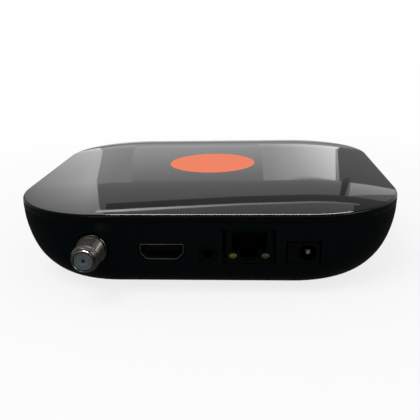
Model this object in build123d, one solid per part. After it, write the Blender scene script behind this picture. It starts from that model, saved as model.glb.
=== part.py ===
from build123d import *
from math import cos, radians, sqrt
import os

# A compact satellite television receiver. Millimetres, +Z up, front towards -Y, sockets towards +Y.
# Heights below are measured from the underside of the lower case; the feet stand lower still.

# Housing outline at the parting line between the lower case and the cover
case_width = 141.7
case_depth = 131.5
corner_radius = 35.3
case_height = 25.7
case_wall = 2.4

# Lower case: the sides and the front are one long arc down from the parting line into a short arc,
# the rear is a nearly upright panel with a larger arc into the underside. The corner radius
# shrinks downwards by a share of how far the walls have drawn in
bulge_radius = 32.0
bulge_foot_radius = 8.0
rear_draft = 2.0
rear_foot_radius = 13.0
corner_tightening = 0.69
outer_steps = 10
inner_steps = 5

# Cover: an upright skirt, a small edge radius and a gentle crown that is flat in the middle
skirt_height = 2.9
cover_wall = 2.4
crown_radius = 220.0
cover_edge_bevel = 0.4
seam_bevel = 0.25
rib_height = 1.6
rib_width = 1.2
rib_spacing = 26.0

# Tongue of the cover inside the rim of the lower case
rim_step = 1.2
rim_depth = 1.6
tongue_gap = 0.1

# Screws run from below through case and board into the cover
screw_spacing_x = 94.0
screw_spacing_y = 48.0
screw_length = 16.0
shank_radius = 1.45
head_radius = 2.8
head_height = 2.0
head_clearance = 0.4
screw_clearance = 0.25
pilot_clearance = 0.05
drive_radius = 1.3
drive_depth = 1.2
case_boss_radius = 4.7
cover_boss_radius = 3.3
screw_seat_height = 3.6

# Rubber feet, each glued into a shallow round recess
foot_spacing_x = 86.0
foot_spacing_y = 76.0
foot_radius = 6.5
foot_stand = 1.0
foot_recess = 0.8
foot_gap = 0.1

# How far a cutter runs past the face that it opens
cut_margin = 1.0

# Main board
board_top = 11.0
board_thickness = 1.6
board_gap = 0.8

# Vents in the underside
vent_count = 9
vent_pitch = 5.0
vent_width = 2.2
vent_length = 28.0
vent_gap = 8.0

# Infrared window in the front wall
window_width = 36.0
window_height = 7.0
window_middle = 16.2
window_gap = 0.12
window_flange = 1.2
window_flange_width = 1.2
window_cut_depth = 20.0

# Standby button in the front wall, and the switch behind it
button_x = 29.0
button_radius = 3.5
button_gap = 0.25
button_travel = 0.3
button_flange = 1.1
button_flange_thickness = 1.0
button_stem_radius = 1.4
guide_wall = 1.25
guide_reach = 7.6
button_cut_depth = 12.0
switch_width = 7.0
switch_depth = 4.2
switch_height = 7.4
switch_front = 16.5
plunger_radius = 1.6
plunger_reach = 1.6
plunger_pocket = 1.2
plunger_gap = 0.1

# How far the socket faces lie inside the rear panel, and the height where the panel is measured
face_recess = 0.7
panel_height = 15.0
panel_cut_depth = 12.0
socket_gap_below = 0.3

# Antenna input: an F connector with a 3/8 inch thread
antenna_side = 33.15
antenna_axis = 16.6
antenna_reach = 12.5
thread_radius = 4.76
thread_length = 9.3
shoulder_radius = 5.25
shoulder_reach = 1.5
shoulder_gap = 0.35
lead_radius = 3.85
tail_radius = 4.0
tail_length = 3.0
antenna_flange_radius = 6.8
antenna_flange_thickness = 1.2
insulator_radius = 2.7
insulator_depth = 12.0
insulator_recess = 0.3
contact_recess = 0.6
contact_radius = 0.8
contact_bore = 0.45

# Tuner shield round the antenna input
can_near_side = 8.8
can_width = 22.0
can_depth = 23.0
can_height = 13.0
can_sheet = 0.4
can_face = 9.0
can_lid_drop = 4.0
can_lid_gap = 0.05

# High definition video socket
hdmi_x = 14.0
hdmi_middle = 15.1
hdmi_width = 15.1
hdmi_height = 5.6
hdmi_chamfer = 1.9
hdmi_depth = 11.0
hdmi_sheet = 0.35
hdmi_gap = 0.35
hdmi_tongue_width = 11.6
hdmi_tongue_thickness = 1.2
hdmi_tongue_recess = 1.0
hdmi_block_depth = 3.0
hdmi_pins = 10
hdmi_pin_recess = 2.0
hdmi_pitch = 1.0
hdmi_pin_width = 0.45
hdmi_pin_thickness = 0.15
hdmi_leg = 1.8

# Round socket for picture and sound
av_x = -1.7
av_middle = 14.3
av_collar_radius = 3.0
av_bore_radius = 1.8
av_bore_depth = 12.0
av_gap = 0.25
av_body_width = 6.6
av_body_depth = 12.0
av_collar_length = 2.4
av_leg_width = 1.2
av_leg_thickness = 0.3
av_leg_pitch = 3.2

# Network socket, latch downwards
rj_x = -15.8
rj_width = 15.8
rj_height = 11.9
rj_depth = 15.2
rj_gap = 1.0
rj_gap_top = 0.6
rj_mouth_width = 11.9
rj_mouth_height = 6.7
rj_mouth_base = 4.4
rj_mouth_depth = 12.5
rj_latch_width = 6.3
rj_latch_height = 2.3
rj_tip_width = 3.9
rj_tip_height = 1.1
rj_led_spacing = 11.0
rj_led_width = 2.9
rj_led_height = 2.5
rj_led_middle = 2.9
rj_led_depth = 8.0
rj_led_gap = 0.06
rj_pins = 8
rj_pitch = 1.02
rj_pin_size = 0.4
rj_pin_drop = 1.2
rj_pin_inset = 2.6

# Power socket, with its hole off the middle
dc_spacing = 18.2
dc_width = 10.5
dc_height = 7.6
dc_depth = 11.5
dc_gap = 0.65
dc_hole_shift = -1.5
dc_hole_middle = 14.7
dc_hole_radius = 3.0
dc_hole_depth = 9.5
dc_pin_radius = 1.0
dc_pin_recess = 1.0
dc_pin_edge = 0.35
dc_corner = 0.6
dc_spring_width = 2.0
dc_spring_thickness = 0.3
dc_spring_bulge = 0.5
dc_spring_pocket = 1.4
dc_spring_gap = 0.06

# Parts on the board
processor_size = 19.0
processor_height = 1.6
processor_y = -4.0
pad_height = 0.8
sink_size = 32.0
sink_base = 2.0
sink_height = 9.0
sink_fins = 8
sink_fin_width = 1.2
memory_x = -29.0
memory_pitch = 14.0
memory_size = (8.0, 13.0, 1.1)
flash_x = -29.0
flash_y = 24.0
flash_size = (12.0, 18.0, 1.1)
regulator_size = (5.0, 5.0, 1.4)
regulator_y = 14.0
regulator_pitch = 12.0
regulators = 3
regulator_x = -44.0
inductor_size = 6.6
inductor_height = 3.4
inductor_edge = 1.2
inductor_offset = 9.0
capacitor_radius = 3.15
capacitor_height = 8.0
capacitor_base = 0.8
capacitor_pitch = 8.5
capacitors = 4
capacitor_x = -54.0
capacitor_y = 38.0
transformer_size = (12.5, 9.5, 5.5)
transformer_y = 40.0
crystal_size = (11.0, 4.6, 3.4)
crystal_y = -26.0
demodulator_size = (9.0, 9.0, 1.0)
receiver_x = 9.0
receiver_size = (7.0, 3.2, 9.0)
receiver_lens_radius = 2.0
receiver_reach = 6.6
led_x = -9.0
led_size = (3.2, 1.6, 1.2)
led_reach = 16.0
guide_height = 3.0
guide_width = 3.6
guide_gap = 0.15

antenna_x = case_width / 2 - antenna_side
dc_x = rj_x - dc_spacing
board_bottom = board_top - board_thickness
rear_plane = case_depth / 2
front_plane = -case_depth / 2
rim_height = case_height + skirt_height
crown_centre = rim_height - sqrt(crown_radius**2 - corner_radius**2)
cover_top = crown_centre + crown_radius
tongue_inset = rim_step + tongue_gap


# Distance from the widest outline in to the bulged wall, or to a skin that far under its surface
def bulge_inset(height, skin=0.0):
    swing = bulge_radius - bulge_foot_radius
    drop = case_height - bulge_foot_radius
    foot_centre = bulge_radius - sqrt(swing**2 - drop**2)
    meeting_height = case_height - (bulge_radius - skin) * drop / swing
    if height > meeting_height:
        return bulge_radius - sqrt((bulge_radius - skin) ** 2 - (case_height - height) ** 2)
    rise = (bulge_foot_radius - skin) ** 2 - (bulge_foot_radius - height) ** 2
    return foot_centre - sqrt(max(rise, 0.0))


# The same distance at the rear panel
def rear_inset(height, skin=0.0):
    lean = rear_draft * (case_height - height) / case_height
    if height >= rear_foot_radius:
        return lean + skin
    rise = (rear_foot_radius - skin) ** 2 - (rear_foot_radius - height) ** 2
    return lean + rear_foot_radius - sqrt(max(rise, 0.0))


panel_plane = rear_plane - rear_inset(panel_height)
face_plane = panel_plane - face_recess


# Outline of the lower case at one height, drawn in by a skin and a further gap
def case_outline(height, skin=0.0, gap=0.0):
    side = bulge_inset(height, skin) + gap
    rear = rear_inset(height, skin) + gap
    width = case_width - 2 * side
    depth = case_depth - side - rear
    drawn_in = (bulge_inset(height) + rear_inset(height)) / 2
    radius = corner_radius - corner_tightening * drawn_in - ((side + rear) / 2 - drawn_in)
    return Pos(0, (side - rear) / 2, height) * RectangleRounded(width, depth, radius)


# The lower case as a solid bowl, or the smaller bowl a skin inside it. The outside is smooth, and
# the inside runs straight from section to section
def bowl(skin=0.0):
    steps = inner_steps if skin else outer_steps
    turns = [radians(90 * step / steps) for step in range(steps + 1)]
    heights = [skin + (case_height - skin) * (1 - cos(turn)) for turn in turns]
    return loft([case_outline(height, skin) for height in heights], ruled=bool(skin))


# An upright block with the plan of the parting line, drawn in by an inset
def plan_block(inset, low, high):
    outline = RectangleRounded(case_width - 2 * inset, case_depth - 2 * inset, corner_radius - inset)
    return Pos(0, 0, low) * extrude(outline, high - low)


# Half a cut through the cover from its flat middle out: the outside arched and bevelled, the
# inside straight
def crown_profile(skin):
    reach = corner_radius - skin
    ball = crown_radius - skin
    top = crown_centre + ball
    brink = crown_centre + sqrt(ball**2 - reach**2)
    walls = [(0, top), (0, case_height), (reach, case_height), (reach, brink)]
    if skin:
        return make_face(Polyline(*walls, close=True))
    half_reach = crown_centre + sqrt(ball**2 - (reach / 2) ** 2)
    rise = ThreePointArc((reach, brink), (reach / 2, half_reach), (0, top))
    outline = make_face(Polyline(*walls) + rise)
    for row, bevel in ((1, cover_edge_bevel), (0, seam_bevel)):
        corners = outline.vertices().filter_by(lambda corner: corner.X > reach - seam_bevel / 2)
        outline = chamfer(corners.sort_by(Axis.Y)[-row], bevel)
    return outline


# The cover as a solid: its profile turned round the corners and run along the sides
def crowned_block(skin):
    profile = Plane.XZ * crown_profile(skin)
    corner = revolve(profile, Axis.Z, 90)
    block = extrude(Rectangle(case_width - 2 * corner_radius, case_depth - 2 * corner_radius),
                    crown_centre + crown_radius - skin - case_height)
    block = Pos(0, 0, case_height) * block
    for quarter in range(4):
        spans = (case_width / 2 - corner_radius, case_depth / 2 - corner_radius)
        along, across = spans if quarter % 2 == 0 else spans[::-1]
        strip = extrude(profile, 2 * across, dir=(0, 1, 0))
        quadrant = Pos(along, across, 0) * corner + Pos(along, -across, 0) * strip
        block += Rot(0, 0, 90 * quarter) * quadrant
    return block


def box_between(low, high):
    size = [b - a for a, b in zip(low, high)]
    middle = [(a + b) / 2 for a, b in zip(low, high)]
    return Pos(*middle) * Box(*size)


# A cylinder along Y between two depths
def bar(x, z, radius, near, far):
    return Pos(x, near, z) * Rot(-90, 0, 0) * extrude(Circle(radius), far - near)


# A flat shape drawn in the XZ plane and pushed back between two depths
def push(shape, x, z, near, far):
    return Pos(x, near, z) * Rot(90, 0, 0) * extrude(shape, near - far)


def screw_places():
    return GridLocations(screw_spacing_x, screw_spacing_y, 2, 2).locations


def foot_places():
    return GridLocations(foot_spacing_x, foot_spacing_y, 2, 2).locations


def wall_slice(outer_skin, inner_skin):
    return bowl(outer_skin) - bowl(inner_skin)


def window_shape(growth):
    width = window_width + 2 * growth
    height = window_height + 2 * growth
    shape = SlotOverall(width, height)
    return push(shape, 0, window_middle, front_plane - cut_margin, front_plane + window_cut_depth)


def hdmi_outline(growth=0.0):
    half, rise = hdmi_width / 2, hdmi_height / 2
    outline = Polygon((-half, rise), (-half, hdmi_chamfer - rise), (hdmi_chamfer - half, -rise),
                      (half - hdmi_chamfer, -rise), (half, hdmi_chamfer - rise), (half, rise),
                      align=None)
    return offset(outline, growth, kind=Kind.INTERSECTION) if growth else outline


def socket_cuts():
    inside = rear_plane - panel_cut_depth
    outside = rear_plane + cut_margin
    below = board_top - socket_gap_below
    cuts = bar(antenna_x, antenna_axis, shoulder_radius + shoulder_gap, inside, outside)
    cuts += push(hdmi_outline(hdmi_gap), hdmi_x, hdmi_middle, inside, outside)
    cuts += bar(av_x, av_middle, av_collar_radius + av_gap, inside, outside)
    cuts += box_between((rj_x - rj_width / 2 - rj_gap, inside, below),
                        (rj_x + rj_width / 2 + rj_gap, outside, board_top + rj_height + rj_gap_top))
    cuts += box_between((dc_x - dc_width / 2 - dc_gap, inside, below),
                        (dc_x + dc_width / 2 + dc_gap, outside, board_top + dc_height + dc_gap))
    return cuts


def vents():
    places = GridLocations(vent_pitch, vent_length + vent_gap, vent_count, 2).locations
    slot = extrude(Rectangle(vent_width, vent_length), case_wall + 2 * cut_margin)
    return Part() + [Pos(0, 0, -cut_margin) * place * slot for place in places]


def lower_case():
    shell = bowl() - bowl(case_wall)
    shell -= plan_block(rim_step, case_height - rim_depth, case_height + cut_margin)
    guide = bar(button_x, window_middle, button_radius + button_gap + guide_wall,
                front_plane - cut_margin, front_plane + guide_reach)
    shell += guide & bowl()
    for place in screw_places():
        shell += place * Pos(0, 0, case_wall / 2) * extrude(Circle(case_boss_radius),
                                                            board_bottom - case_wall / 2)
    for place in foot_places():
        shell -= place * Pos(0, 0, -cut_margin) * extrude(Circle(foot_radius + foot_gap),
                                                          foot_recess + cut_margin)
    for place in screw_places():
        shell -= place * Pos(0, 0, -cut_margin) * extrude(Circle(head_radius + head_clearance),
                                                          screw_seat_height + cut_margin)
        shell -= place * extrude(Circle(shank_radius + screw_clearance), board_top)
    shell -= window_shape(0)
    shell -= bar(button_x, window_middle, button_radius + button_gap,
                 front_plane - cut_margin, front_plane + button_cut_depth)
    return shell - vents() - socket_cuts()


def top_cover():
    shell = crowned_block(0) - crowned_block(cover_wall)
    tongue = plan_block(tongue_inset, case_height - rim_depth + tongue_gap, case_height + cover_wall)
    shell += tongue - plan_block(cover_wall, case_height - rim_depth,
                                 case_height + cover_wall + cut_margin)
    root = cover_top - cover_wall / 2
    ribs = Part()
    for step in (-1, 0, 1):
        for turn in (0, 90):
            rib = Box(rib_width, 2 * rib_spacing + rib_width, rib_height + cover_wall / 2)
            middle = root - (rib_height + cover_wall / 2) / 2
            ribs += Rot(0, 0, turn) * Pos(step * rib_spacing, 0, middle) * rib
    shell += ribs
    for place in screw_places():
        shell += place * Pos(0, 0, board_top) * extrude(Circle(cover_boss_radius), root - board_top)
    for place in screw_places():
        hole = extrude(Circle(shank_radius + pilot_clearance),
                       screw_seat_height + screw_length + cut_margin)
        shell -= place * hole
    return shell


def ir_window():
    pane = wall_slice(0, case_wall) & window_shape(-window_gap)
    seat = case_wall + window_gap / 2
    flange = wall_slice(seat, seat + window_flange) & window_shape(window_flange_width)
    bridge = wall_slice(case_wall / 2, seat + window_flange / 2) & window_shape(-window_gap)
    return pane + bridge + flange


def guide_end():
    return front_plane + guide_reach + button_gap / 2


def plunger_tip():
    return front_plane + switch_front - plunger_reach


def standby_button():
    back = guide_end() + button_flange_thickness
    cap = bar(button_x, window_middle, button_radius, front_plane - cut_margin, back) & bowl()
    flange = bar(button_x, window_middle, button_radius + button_flange, guide_end(), back)
    stem = bar(button_x, window_middle, button_stem_radius, guide_end(), plunger_tip())
    return cap + flange + stem


def tact_switch_body():
    front = front_plane + switch_front
    body = box_between((button_x - switch_width / 2, front, board_top),
                       (button_x + switch_width / 2, front + switch_depth, board_top + switch_height))
    depth = plunger_pocket + button_travel + plunger_gap
    pocket = bar(button_x, window_middle, plunger_radius + plunger_gap,
                 front - cut_margin, front + depth)
    return body - pocket


def tact_switch_plunger():
    inner = front_plane + switch_front + plunger_pocket
    return bar(button_x, window_middle, plunger_radius, plunger_tip(), inner)


def rubber_feet():
    foot = extrude(Circle(foot_radius), foot_stand + foot_recess)
    return Part() + [place * Pos(0, 0, -foot_stand) * foot for place in foot_places()]


def case_screws():
    head = Pos(0, 0, screw_seat_height - head_height) * extrude(Circle(head_radius), head_height)
    shank = Pos(0, 0, screw_seat_height) * extrude(Circle(shank_radius), screw_length)
    socket = extrude(RegularPolygon(drive_radius, 6), drive_depth)
    screw = head + shank - Pos(0, 0, screw_seat_height - head_height) * socket
    return Part() + [place * screw for place in screw_places()]


def main_board():
    board = extrude(case_outline(board_bottom, case_wall, board_gap), board_thickness)
    for place in screw_places():
        board -= place * extrude(Circle(shank_radius + screw_clearance), board_top + cut_margin)
    notch = antenna_flange_radius + board_gap
    return board - box_between((antenna_x - notch, can_rear, 0),
                               (antenna_x + notch, rear_plane, board_top + cut_margin))


antenna_end = panel_plane + antenna_reach
can_rear = panel_plane - can_face


def antenna_barrel():
    flange_end = can_rear + antenna_flange_thickness
    lead_start = antenna_end - (antenna_reach - shoulder_reach - thread_length)
    barrel = bar(antenna_x, antenna_axis, antenna_flange_radius, can_rear, flange_end)
    barrel += bar(antenna_x, antenna_axis, tail_radius, can_rear - tail_length, can_rear)
    barrel += bar(antenna_x, antenna_axis, shoulder_radius, flange_end, panel_plane + shoulder_reach)
    barrel += bar(antenna_x, antenna_axis, thread_radius, panel_plane + shoulder_reach, lead_start)
    barrel += bar(antenna_x, antenna_axis, lead_radius, lead_start, antenna_end)
    barrel -= bar(antenna_x, antenna_axis, insulator_radius, antenna_end - insulator_depth, antenna_end)
    return barrel - bar(antenna_x, antenna_axis, contact_radius + contact_bore,
                        can_rear - tail_length, antenna_end)


def antenna_insulator():
    front = antenna_end - insulator_recess
    back = antenna_end - insulator_depth
    body = bar(antenna_x, antenna_axis, insulator_radius, back, front)
    return body - bar(antenna_x, antenna_axis, contact_radius, back, front - insulator_recess) - bar(
        antenna_x, antenna_axis, contact_bore, back, front)


def antenna_contact():
    front = antenna_end - contact_recess
    back = can_rear - tail_length
    return bar(antenna_x, antenna_axis, contact_radius, back, front) - bar(
        antenna_x, antenna_axis, contact_bore, back + tail_length, front)


def can_corners(growth, low, high):
    left = antenna_x - can_near_side - growth
    right = antenna_x - can_near_side + can_width + growth
    return (left, can_rear - can_depth - growth, low), (right, can_rear + growth, high)


def tuner_can():
    top = board_top + can_height
    walls = box_between(*can_corners(0, board_top, top))
    walls -= box_between(*can_corners(-can_sheet, board_top - cut_margin, top + cut_margin))
    return walls - bar(antenna_x, antenna_axis, tail_radius, can_rear - 2 * can_sheet,
                       can_rear + cut_margin)


def tuner_can_lid():
    top = board_top + can_height
    outer = can_corners(can_sheet + can_lid_gap, top - can_lid_drop, top + can_sheet)
    inner = can_corners(can_lid_gap, top - can_lid_drop - cut_margin, top)
    lid = box_between(*outer) - box_between(*inner)
    return lid - bar(antenna_x, antenna_axis, antenna_flange_radius + can_sheet,
                     can_rear - can_sheet, can_rear + 2 * cut_margin)


def hdmi_shell():
    back = face_plane - hdmi_depth
    shell = push(hdmi_outline(), hdmi_x, hdmi_middle, back, face_plane)
    shell -= push(hdmi_outline(-hdmi_sheet), hdmi_x, hdmi_middle, back + hdmi_sheet,
                  face_plane + cut_margin)
    side = hdmi_width / 2 - hdmi_sheet / 2
    leg_top = hdmi_middle - hdmi_height / 2 + hdmi_chamfer + hdmi_sheet
    leg = Box(hdmi_sheet, hdmi_leg, leg_top - board_top)
    for x in (hdmi_x - side, hdmi_x + side):
        for y in (back + hdmi_leg, back + hdmi_depth / 2):
            shell += Pos(x, y, (leg_top + board_top) / 2) * leg
    return shell


def hdmi_tongue_faces():
    middle = hdmi_middle + hdmi_height / 2 - hdmi_chamfer
    return middle - hdmi_tongue_thickness / 2, middle + hdmi_tongue_thickness / 2


def hdmi_insulator():
    back = face_plane - hdmi_depth + hdmi_sheet
    block = push(hdmi_outline(-hdmi_sheet), hdmi_x, hdmi_middle, back, back + hdmi_block_depth)
    under, over = hdmi_tongue_faces()
    half = hdmi_tongue_width / 2
    return block + box_between((hdmi_x - half, back, under),
                               (hdmi_x + half, face_plane - hdmi_tongue_recess, over))


def hdmi_contacts():
    near = face_plane - hdmi_depth + hdmi_sheet + hdmi_block_depth
    far = face_plane - hdmi_pin_recess
    under, over = hdmi_tongue_faces()
    pin = Box(hdmi_pin_width, far - near, hdmi_pin_thickness)
    pins = Part()
    for row, height in ((hdmi_pins, over + hdmi_pin_thickness / 2),
                        (hdmi_pins - 1, under - hdmi_pin_thickness / 2)):
        for index in range(row):
            x = hdmi_x + (index - (row - 1) / 2) * hdmi_pitch
            pins += Pos(x, (near + far) / 2, height) * pin
    return pins


def av_jack_body():
    shoulder = face_plane - av_collar_length
    top = 2 * av_middle - board_top
    body = box_between((av_x - av_body_width / 2, shoulder - av_body_depth, board_top),
                       (av_x + av_body_width / 2, shoulder, top))
    body += bar(av_x, av_middle, av_collar_radius, shoulder, face_plane)
    return body - bar(av_x, av_middle, av_bore_radius, face_plane - av_bore_depth, face_plane)


def av_jack_contacts():
    legs = Part()
    shoulder = face_plane - av_collar_length
    for side in (-1, 1):
        x = av_x + side * (av_body_width + av_leg_thickness) / 2
        for row in (-1, 0, 1):
            y = shoulder - av_body_depth / 2 + row * av_leg_pitch
            leg = Box(av_leg_thickness, av_leg_width, av_middle - board_top)
            legs += Pos(x, y, (av_middle + board_top) / 2) * leg
    return legs


def rj45_housing():
    back = face_plane - rj_depth
    floor = board_top + rj_mouth_base
    cavity_back = face_plane - rj_mouth_depth
    body = box_between((rj_x - rj_width / 2, back, board_top),
                       (rj_x + rj_width / 2, face_plane, board_top + rj_height))
    mouth_parts = ((rj_mouth_width, floor, floor + rj_mouth_height),
                   (rj_latch_width, floor - rj_latch_height, floor + cut_margin),
                   (rj_tip_width, floor - rj_latch_height - rj_tip_height, floor + cut_margin))
    for width, low, high in mouth_parts:
        body -= box_between((rj_x - width / 2, cavity_back, low),
                            (rj_x + width / 2, face_plane + cut_margin, high))
    return body - [rj45_lamp(side, rj_led_gap) for side in (-1, 1)]


# The block of one lamp beside the latch, with a gap round it and behind it
def rj45_lamp(side, gap=0.0):
    x = rj_x + side * rj_led_spacing / 2
    z = board_top + rj_led_middle
    half, rise = rj_led_width / 2 + gap, rj_led_height / 2 + gap
    return box_between((x - half, face_plane - rj_led_depth - gap, z - rise),
                       (x + half, face_plane, z + rise))


# Spring wires that slope down from the front of the ceiling to the back of the mouth
def rj45_contacts():
    ceiling = board_top + rj_mouth_base + rj_mouth_height
    front = face_plane - rj_pin_inset
    back = face_plane - rj_mouth_depth
    turn = back + 2 * rj_pin_size
    wire = make_face(Polyline((front, ceiling), (front, ceiling - rj_pin_size),
                              (turn, ceiling - rj_pin_drop - rj_pin_size),
                              (back, ceiling - rj_pin_drop - rj_pin_size),
                              (back, ceiling - rj_pin_drop), (turn, ceiling - rj_pin_drop),
                              (front - rj_pin_size, ceiling), close=True))
    wire = Plane.YZ * wire
    pins = Part()
    for index in range(rj_pins):
        x = rj_x + (index - (rj_pins - 1) / 2) * rj_pitch
        pins += Pos(x - rj_pin_size / 2, 0, 0) * extrude(wire, rj_pin_size)
    return pins


def dc_jack_housing():
    back = face_plane - dc_depth
    body = box_between((dc_x - dc_width / 2, back, board_top),
                       (dc_x + dc_width / 2, face_plane, board_top + dc_height))
    body = fillet(body.edges().filter_by(Axis.Y).group_by(Axis.Z)[-1], dc_corner)
    hole_x = dc_x + dc_hole_shift
    body -= bar(hole_x, dc_hole_middle, dc_hole_radius, face_plane - dc_hole_depth, face_plane)
    rise = dc_spring_width / 2 + dc_spring_gap
    return body - box_between((hole_x, face_plane - dc_hole_depth, dc_hole_middle - rise),
                              (hole_x + dc_hole_radius + dc_spring_pocket, face_plane - dc_spring_pocket,
                               dc_hole_middle + rise))


def dc_jack_pin():
    back = face_plane - dc_hole_depth
    pin = bar(dc_x + dc_hole_shift, dc_hole_middle, dc_pin_radius, back, face_plane - dc_pin_recess)
    return chamfer(pin.edges().group_by(Axis.Y)[-1], dc_pin_edge)


# A leaf that bows from the back of its pocket into the hole and rests on the pocket's side again
def dc_jack_spring():
    back = face_plane - dc_hole_depth
    front = face_plane - 2 * dc_spring_pocket
    root = dc_x + dc_hole_shift + dc_hole_radius + dc_spring_pocket
    crest = root - dc_spring_pocket - dc_spring_bulge
    middle = (back + front) / 2
    thick = dc_spring_thickness
    inner = ThreePointArc((root - thick, back), (crest, middle), (root - thick, front))
    outer = ThreePointArc((root, front), (crest + thick, middle), (root, back))
    ends = Line((root - thick, front), (root, front)) + Line((root, back), (root - thick, back))
    leaf = extrude(make_face(inner + outer + ends), dc_spring_width)
    return Pos(0, 0, dc_hole_middle - dc_spring_width / 2) * leaf


# A block that stands on the board, or higher by a lift
def chip(x, y, size, lift=0.0):
    return Pos(x, y, board_top + lift + size[2] / 2) * Box(*size)


def processor():
    return chip(0, processor_y, (processor_size, processor_size, processor_height))


def thermal_pad():
    return chip(0, processor_y, (processor_size, processor_size, pad_height), processor_height)


def heat_sink():
    base_height = processor_height + pad_height
    sink = chip(0, processor_y, (sink_size, sink_size, sink_base), base_height)
    pitch = (sink_size - sink_fin_width) / (sink_fins - 1)
    fin = (sink_fin_width, sink_size, sink_height - sink_base)
    for index in range(sink_fins):
        x = (index - (sink_fins - 1) / 2) * pitch
        sink += chip(x, processor_y, fin, base_height + sink_base)
    return sink


def memory_chips():
    return Part() + [chip(memory_x, processor_y + side * memory_pitch / 2, memory_size)
                     for side in (-1, 1)]


def flash_chip():
    return chip(flash_x, flash_y, flash_size)


def power_regulators():
    return Part() + [chip(regulator_x, regulator_y - index * regulator_pitch, regulator_size)
                     for index in range(regulators)]


def power_inductors():
    block = Box(inductor_size, inductor_size, inductor_height)
    block = chamfer(block.edges().filter_by(Axis.Z), inductor_edge)
    seat = board_top + inductor_height / 2
    x = regulator_x - inductor_offset
    return Part() + [Pos(x, regulator_y - index * regulator_pitch, seat) * block
                     for index in range(regulators)]


def filter_capacitors():
    side = 2 * capacitor_radius
    base = extrude(Rectangle(side, side), capacitor_base)
    can = Pos(0, 0, capacitor_base) * extrude(Circle(capacitor_radius), capacitor_height)
    capacitor = Pos(0, 0, board_top) * (base + can)
    return Part() + [Pos(capacitor_x + index * capacitor_pitch, capacitor_y, 0) * capacitor
                     for index in range(capacitors)]


def network_transformer():
    return chip(rj_x, transformer_y, transformer_size)


def clock_crystal():
    body = extrude(SlotOverall(crystal_size[0], crystal_size[1]), crystal_size[2])
    return Pos(0, crystal_y, board_top) * body


def demodulator():
    return chip(antenna_x, can_rear - can_depth / 2, demodulator_size)


def ir_receiver():
    wall = front_plane + bulge_inset(window_middle, case_wall)
    width, depth, height = receiver_size
    near = wall + receiver_reach - depth / 2
    block = box_between((receiver_x - width / 2, near, board_top),
                        (receiver_x + width / 2, near + depth, board_top + height))
    lens = bar(receiver_x, window_middle, receiver_lens_radius, near - depth / 2, near + depth / 2)
    return block + lens


def status_led():
    return chip(led_x, front_plane + led_reach, led_size)


# A clear bar that carries the lamp's light forward and up to the back of the window
def light_guide():
    lamp = front_plane + led_reach
    start = board_top + led_size[2] + guide_gap
    flange_face = front_plane + bulge_inset(window_middle - guide_height / 2, case_wall
                                            + window_gap / 2 + window_flange) + guide_gap
    low = window_middle - guide_height / 2
    high = window_middle + guide_height / 2
    outline = make_face(Polyline((flange_face, low), (flange_face, high), (lamp, high),
                                 (lamp + guide_height / 2, high - guide_height / 2),
                                 (lamp + guide_height / 2, start), (lamp - guide_height / 2, start),
                                 (lamp - guide_height / 2, low), close=True))
    return Pos(led_x - guide_width / 2, 0, 0) * extrude(Plane.YZ * outline, guide_width)


builders = (lower_case, top_cover, ir_window, light_guide, standby_button, tact_switch_body,
            tact_switch_plunger, rubber_feet, case_screws, main_board, antenna_barrel,
            antenna_insulator, antenna_contact, tuner_can, tuner_can_lid, demodulator, hdmi_shell,
            hdmi_insulator, hdmi_contacts, av_jack_body, av_jack_contacts, rj45_housing,
            rj45_contacts, dc_jack_housing, dc_jack_pin, dc_jack_spring, processor, thermal_pad,
            heat_sink, memory_chips, flash_chip, power_regulators, power_inductors,
            filter_capacitors, network_transformer, clock_crystal, ir_receiver, status_led)

subparts = {build.__name__: build() for build in builders}
subparts["rj45_lamp_yellow"] = rj45_lamp(1)
subparts["rj45_lamp_green"] = rj45_lamp(-1)

# The origin lies under the middle of the whole footprint, antenna input included
place = Pos(0, -(antenna_end - rear_plane) / 2, foot_stand)
os.makedirs("parts", exist_ok=True)
for name, shape in subparts.items():
    export_step(place * shape, f"parts/{name}.step")
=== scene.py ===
import math

import bmesh
import bpy
from mathutils import Matrix, Vector


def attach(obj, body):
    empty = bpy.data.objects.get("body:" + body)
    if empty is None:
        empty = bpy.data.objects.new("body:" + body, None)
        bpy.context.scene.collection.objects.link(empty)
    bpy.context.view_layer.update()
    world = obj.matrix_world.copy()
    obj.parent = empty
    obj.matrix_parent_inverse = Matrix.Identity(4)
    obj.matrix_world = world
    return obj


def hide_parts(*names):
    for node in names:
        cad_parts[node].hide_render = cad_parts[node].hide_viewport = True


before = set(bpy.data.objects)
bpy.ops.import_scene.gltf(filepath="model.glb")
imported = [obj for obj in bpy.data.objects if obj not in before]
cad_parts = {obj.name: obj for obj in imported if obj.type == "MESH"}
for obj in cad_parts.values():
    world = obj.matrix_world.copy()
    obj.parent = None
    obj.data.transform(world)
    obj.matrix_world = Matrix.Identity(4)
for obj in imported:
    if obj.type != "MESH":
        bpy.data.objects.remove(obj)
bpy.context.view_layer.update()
mm = 0.001
caseMiddleY = -5.8335  # mm; the antenna input takes the rest of the depth
scene = bpy.context.scene
scene.view_settings.view_transform = "Standard"
print("frame loaded:", len(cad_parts), "CAD nodes")


camera = {
    "distance": 267.84,  # from the turning point, mm
    "elevation": 17.28,  # degrees above the table
    "turn": -3.89,  # how far the set is turned on the table
    "roll": -1.25,
    "focalPixels": 604.86, "pictureWidth": 420, "sensor": 36.0,
    "shiftX": 1.55, "shiftZ": 2.01,  # the turning point from the middle of the set, mm
    "middleY": caseMiddleY, "middleZ": 13.0,
    "clipStart": 0.01,
}


def fromStudio(x, y, z):  # a place in front of the camera, in the set's own frame
    turn = math.radians(camera["turn"])
    x -= camera["shiftX"]
    across = x * math.cos(turn) + y * math.sin(turn)
    along = -x * math.sin(turn) + y * math.cos(turn)
    height = z + camera["middleZ"] - camera["shiftZ"]
    return Vector((-across, camera["middleY"] - along, height)) * mm


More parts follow.
